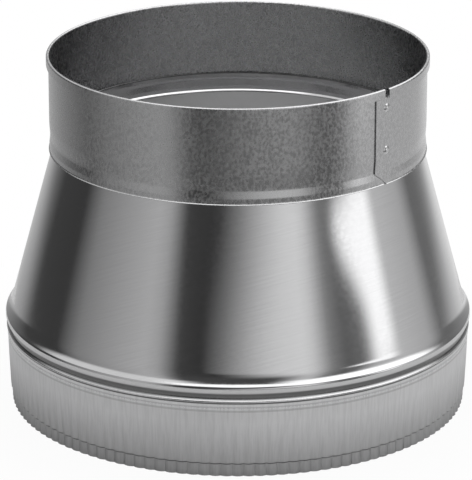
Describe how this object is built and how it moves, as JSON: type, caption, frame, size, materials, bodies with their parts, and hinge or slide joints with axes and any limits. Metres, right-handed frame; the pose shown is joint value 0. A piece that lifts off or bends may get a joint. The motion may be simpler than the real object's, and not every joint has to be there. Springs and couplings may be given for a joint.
{
  "type": "duct reducer",
  "caption": "Round galvanised duct reducer: a hemmed plain collar with a riveted lap seam, a bright cone and a beaded, crimped spigot that slips into the larger pipe.",
  "frame": {"origin": "on the duct axis, at the lower edge of the crimped lip that it stands on", "axes": "+Z along the duct axis from the crimped end to the collar; the riveted lap seam lies between +X and -Y"},
  "size_m": [0.2554, 0.2554, 0.1948],
  "materials": {
    "galvanised_collar": "matt spangled zinc",
    "bright_cone": "bright rolled zinc with fine grain",
    "crimped_galvanised": "matt rolled zinc",
    "rivet_steel": "satin"
  },
  "bodies": {
    "root": {"collar": "galvanised_collar", "cone": "bright_cone", "crimped_band": "crimped_galvanised", "seam_rivets": "rivet_steel"}
  },
  "joints": []
}
